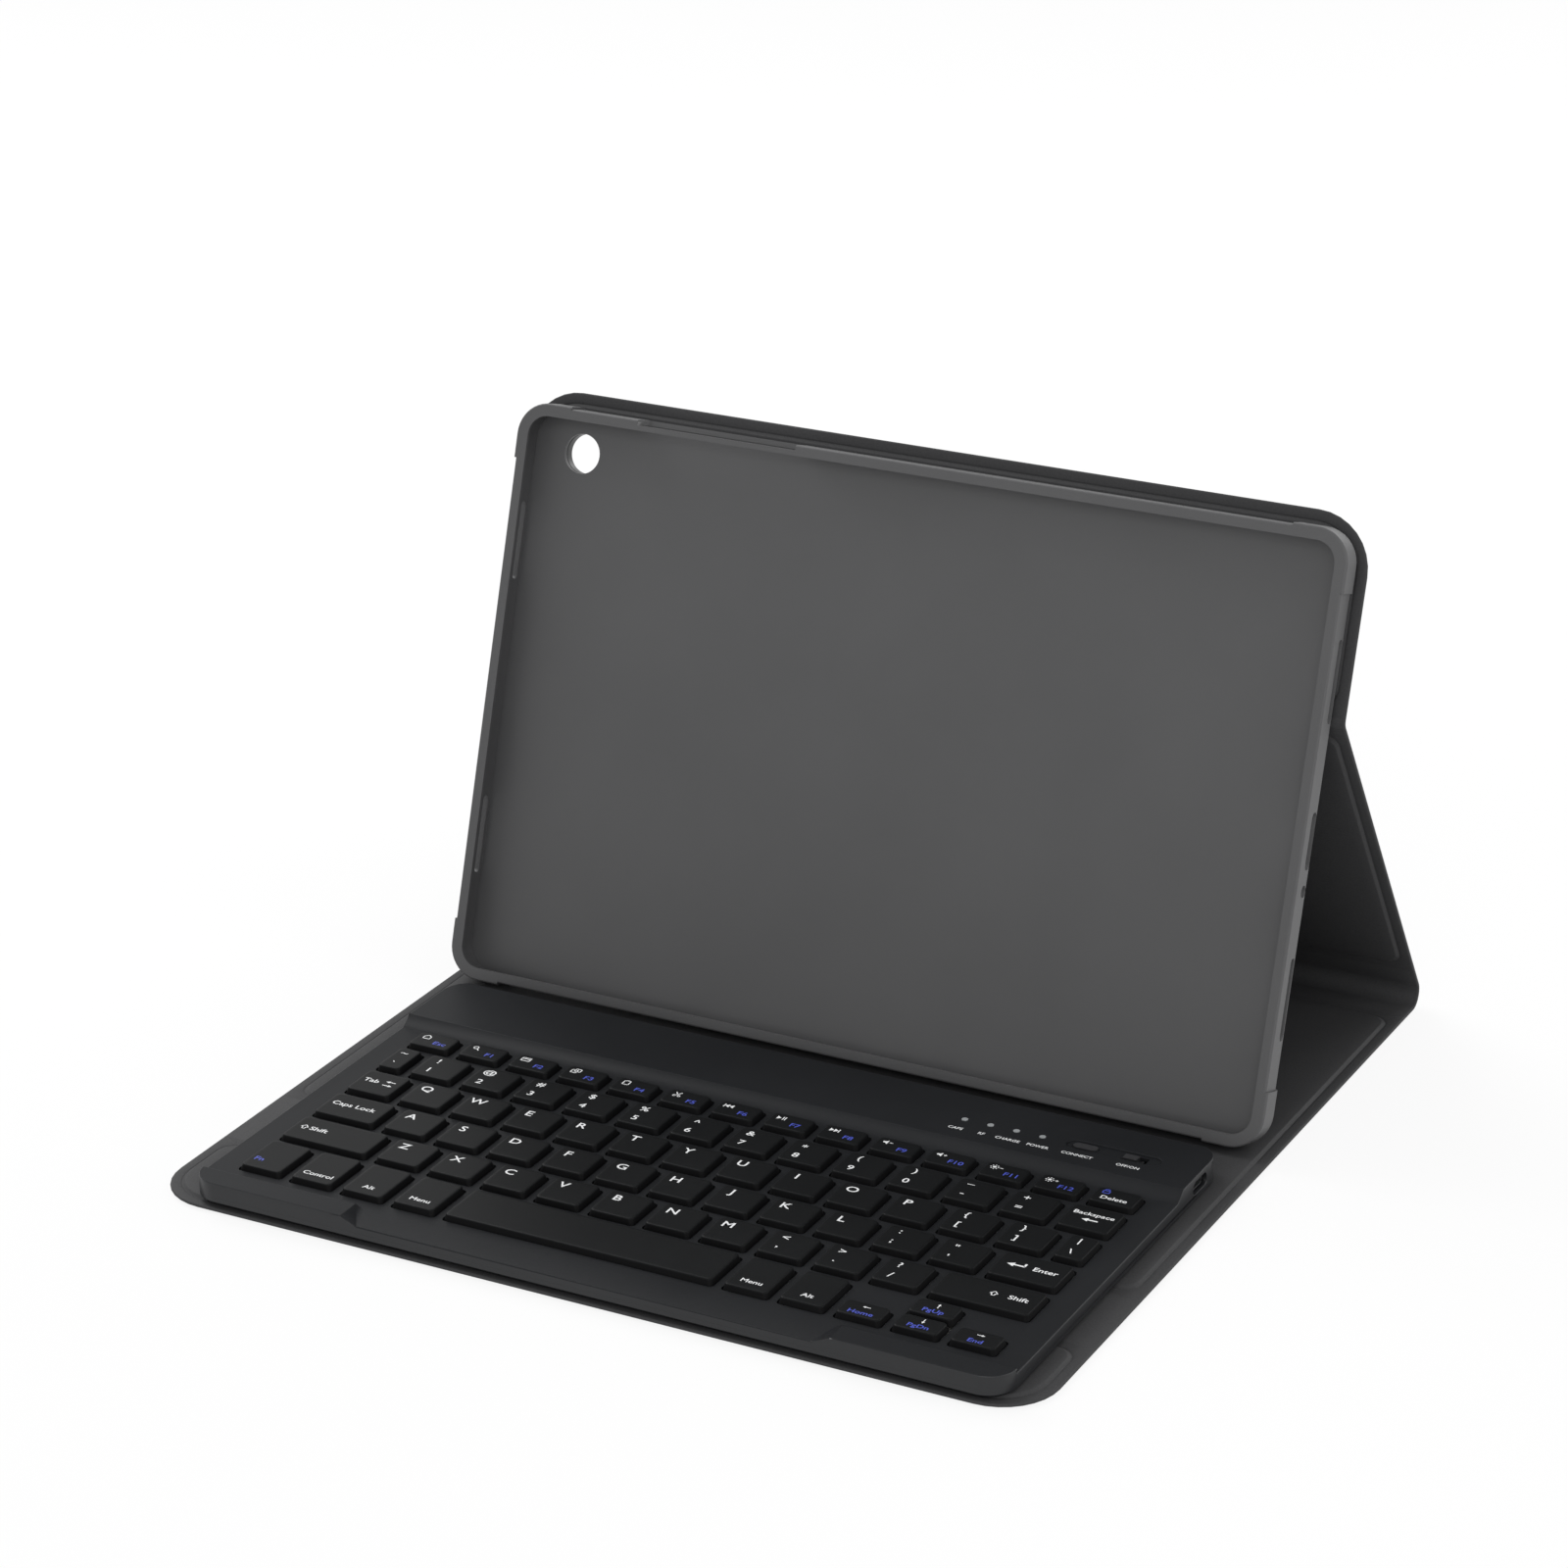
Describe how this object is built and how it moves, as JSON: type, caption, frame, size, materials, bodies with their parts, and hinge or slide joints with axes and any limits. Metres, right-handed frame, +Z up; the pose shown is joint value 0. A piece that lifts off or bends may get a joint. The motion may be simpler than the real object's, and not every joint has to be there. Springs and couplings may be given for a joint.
{
  "type": "tablet keyboard case",
  "caption": "Folding faux-leather tablet case with a moulded tray, propped open as a stand, and a detachable low-profile wireless keyboard held on its base.",
  "frame": {"origin": "middle of the case's footprint, on the table", "axes": "+X to the typist's right, +Y away from the typist, +Z up from the table"},
  "size_m": [0.256, 0.2663, 0.1651],
  "materials": {
    "faux_leather": "matte fine-grained faux leather",
    "faux_leather_lining": "matte smooth faux leather",
    "soft_fold": "matte faux leather, unstiffened",
    "stiffener_board": "pressed grey board",
    "magnet": "nickel plated",
    "tray_plastic": "matte moulded",
    "ring_plastic": "satin moulded",
    "adhesive": "clear-edged adhesive sheet",
    "keyboard_shell": "matte fine texture",
    "keycap": "matte fine texture",
    "steel_sheet": "rolled sheet",
    "membrane_film": "clear printed film",
    "dome_rubber": "moulded",
    "link_plastic": "moulded",
    "circuit_board": "lacquered",
    "shield_metal": "tinned",
    "battery_foil": "foil pouch",
    "flex_film": "film",
    "switch_plastic": "moulded",
    "lens_plastic": "clear moulded",
    "foot_rubber": "moulded",
    "screw_steel": "zinc plated"
  },
  "bodies": {
    "base": {"base_skin": "faux_leather", "base_board": "stiffener_board", "base_lining": "faux_leather_lining", "base_magnets": "magnet", "spine_strip": "soft_fold", "flap_base_crease": "soft_fold"},
    "stand": {"stand_skin": "faux_leather", "stand_board": "stiffener_board", "stand_lining": "faux_leather_lining", "stand_crease": "soft_fold"},
    "back": {"back_skin": "faux_leather", "back_board": "stiffener_board", "back_lining": "faux_leather_lining", "back_magnets": "magnet", "camera_ring": "ring_plastic", "tray_shell": "tray_plastic", "tray_bond": "adhesive"},
    "flap_strip": {"flap_strip": "soft_fold", "flap_tip_crease": "soft_fold"},
    "flap_end": {"flap_skin": "faux_leather", "flap_board": "stiffener_board", "flap_lining": "faux_leather_lining", "flap_magnets": "magnet"},
    "keyboard": {"bottom_case": "keyboard_shell", "deck": "keyboard_shell", "key_plate": "steel_sheet", "contact_membrane": "membrane_film", "rubber_domes": "dome_rubber", "scissor_links": "link_plastic", "main_board": "circuit_board", "radio_shield": "shield_metal", "battery": "battery_foil", "battery_flex": "flex_film", "charging_socket": "shield_metal", "slide_switch": "switch_plastic", "tact_switch": "switch_plastic", "indicator_lenses": "lens_plastic", "rubber_feet": "foot_rubber", "case_screws": "screw_steel", "keyboard_magnets": "magnet"},
    "power_switch": {"switch_slider": "switch_plastic"},
    "connect_button": {"connect_button": "switch_plastic"},
    "function_keys": {"function_keys": "keycap"},
    "number_keys": {"number_keys": "keycap"},
    "backspace_key": {"backspace_key": "keycap"},
    "tab_key": {"tab_key": "keycap"},
    "upper_letter_keys": {"upper_letter_keys": "keycap"},
    "caps_lock_key": {"caps_lock_key": "keycap"},
    "home_letter_keys": {"home_letter_keys": "keycap"},
    "enter_key": {"enter_key": "keycap"},
    "left_shift_key": {"left_shift_key": "keycap"},
    "lower_letter_keys": {"lower_letter_keys": "keycap"},
    "right_shift_key": {"right_shift_key": "keycap"},
    "modifier_keys": {"modifier_keys": "keycap"},
    "space_bar": {"space_bar": "keycap"},
    "left_arrow_key": {"left_arrow_key": "keycap"},
    "up_arrow_key": {"up_arrow_key": "keycap"},
    "down_arrow_key": {"down_arrow_key": "keycap"},
    "right_arrow_key": {"right_arrow_key": "keycap"}
  },
  "joints": [
    {"name": "rear_fold", "type": "hinge", "parent": "base", "child": "stand", "pos_m": [0, 0.13301, 0.0029], "axis": [1, 0, 0], "range_deg": [-124.5, 0], "deforming": ["spine_strip"]},
    {"name": "stand_fold", "type": "hinge", "parent": "stand", "child": "back", "pos_m": [0, 0.06029, 0.11189], "axis": [1, 0, 0], "range_deg": [0, 51.5], "deforming": ["stand_crease"]},
    {"name": "flap_fold", "type": "hinge", "parent": "base", "child": "flap_strip", "pos_m": [0, -0.06965, 0.0011], "axis": [1, 0, 0], "range_deg": [0, 90], "deforming": ["flap_base_crease"]},
    {"name": "flap_tip_fold", "type": "hinge", "parent": "flap_strip", "child": "flap_end", "pos_m": [0, -0.09465, 0.0011], "axis": [1, 0, 0], "range_deg": [0, 90], "deforming": ["flap_tip_crease"]},
    {"name": "keyboard_lift", "type": "slide", "parent": "base", "child": "keyboard", "axis": [0, 0, 1], "range_m": [0, 0.06]},
    {"name": "power_switch_slide", "type": "slide", "parent": "keyboard", "child": "power_switch", "axis": [1, 0, 0], "range_m": [0, 0.0025]},
    {"name": "connect_button_press", "type": "slide", "parent": "keyboard", "child": "connect_button", "axis": [0, 0, -1], "range_m": [0, 0.0006], "stiffness_N_per_m": 500, "springref_m": -0.0006},
    {"name": "function_key_press", "type": "slide", "parent": "keyboard", "child": "function_keys", "axis": [0, 0, -1], "range_m": [0, 0.0014], "stiffness_N_per_m": 400, "springref_m": -0.001, "deforming": ["rubber_domes", "scissor_links"]},
    {"name": "number_key_press", "type": "slide", "parent": "keyboard", "child": "number_keys", "axis": [0, 0, -1], "range_m": [0, 0.0014], "stiffness_N_per_m": 400, "springref_m": -0.001},
    {"name": "backspace_key_press", "type": "slide", "parent": "keyboard", "child": "backspace_key", "axis": [0, 0, -1], "range_m": [0, 0.0014], "stiffness_N_per_m": 150, "springref_m": -0.001},
    {"name": "tab_key_press", "type": "slide", "parent": "keyboard", "child": "tab_key", "axis": [0, 0, -1], "range_m": [0, 0.0014], "stiffness_N_per_m": 150, "springref_m": -0.001},
    {"name": "upper_letter_key_press", "type": "slide", "parent": "keyboard", "child": "upper_letter_keys", "axis": [0, 0, -1], "range_m": [0, 0.0014], "stiffness_N_per_m": 400, "springref_m": -0.001},
    {"name": "caps_lock_key_press", "type": "slide", "parent": "keyboard", "child": "caps_lock_key", "axis": [0, 0, -1], "range_m": [0, 0.0014], "stiffness_N_per_m": 150, "springref_m": -0.001},
    {"name": "home_letter_key_press", "type": "slide", "parent": "keyboard", "child": "home_letter_keys", "axis": [0, 0, -1], "range_m": [0, 0.0014], "stiffness_N_per_m": 400, "springref_m": -0.001},
    {"name": "enter_key_press", "type": "slide", "parent": "keyboard", "child": "enter_key", "axis": [0, 0, -1], "range_m": [0, 0.0014], "stiffness_N_per_m": 150, "springref_m": -0.001},
    {"name": "left_shift_key_press", "type": "slide", "parent": "keyboard", "child": "left_shift_key", "axis": [0, 0, -1], "range_m": [0, 0.0014], "stiffness_N_per_m": 150, "springref_m": -0.001},
    {"name": "lower_letter_key_press", "type": "slide", "parent": "keyboard", "child": "lower_letter_keys", "axis": [0, 0, -1], "range_m": [0, 0.0014], "stiffness_N_per_m": 400, "springref_m": -0.001},
    {"name": "right_shift_key_press", "type": "slide", "parent": "keyboard", "child": "right_shift_key", "axis": [0, 0, -1], "range_m": [0, 0.0014], "stiffness_N_per_m": 150, "springref_m": -0.001},
    {"name": "modifier_key_press", "type": "slide", "parent": "keyboard", "child": "modifier_keys", "axis": [0, 0, -1], "range_m": [0, 0.0014], "stiffness_N_per_m": 400, "springref_m": -0.001},
    {"name": "space_bar_press", "type": "slide", "parent": "keyboard", "child": "space_bar", "axis": [0, 0, -1], "range_m": [0, 0.0014], "stiffness_N_per_m": 150, "springref_m": -0.001},
    {"name": "left_arrow_key_press", "type": "slide", "parent": "keyboard", "child": "left_arrow_key", "axis": [0, 0, -1], "range_m": [0, 0.0014], "stiffness_N_per_m": 150, "springref_m": -0.001},
    {"name": "up_arrow_key_press", "type": "slide", "parent": "keyboard", "child": "up_arrow_key", "axis": [0, 0, -1], "range_m": [0, 0.0014], "stiffness_N_per_m": 150, "springref_m": -0.001},
    {"name": "down_arrow_key_press", "type": "slide", "parent": "keyboard", "child": "down_arrow_key", "axis": [0, 0, -1], "range_m": [0, 0.0014], "stiffness_N_per_m": 150, "springref_m": -0.001},
    {"name": "right_arrow_key_press", "type": "slide", "parent": "keyboard", "child": "right_arrow_key", "axis": [0, 0, -1], "range_m": [0, 0.0014], "stiffness_N_per_m": 150, "springref_m": -0.001}
  ],
  "couplings": [
    {"joint": "stand_fold", "follows": "rear_fold", "ratio": -0.41365}
  ]
}
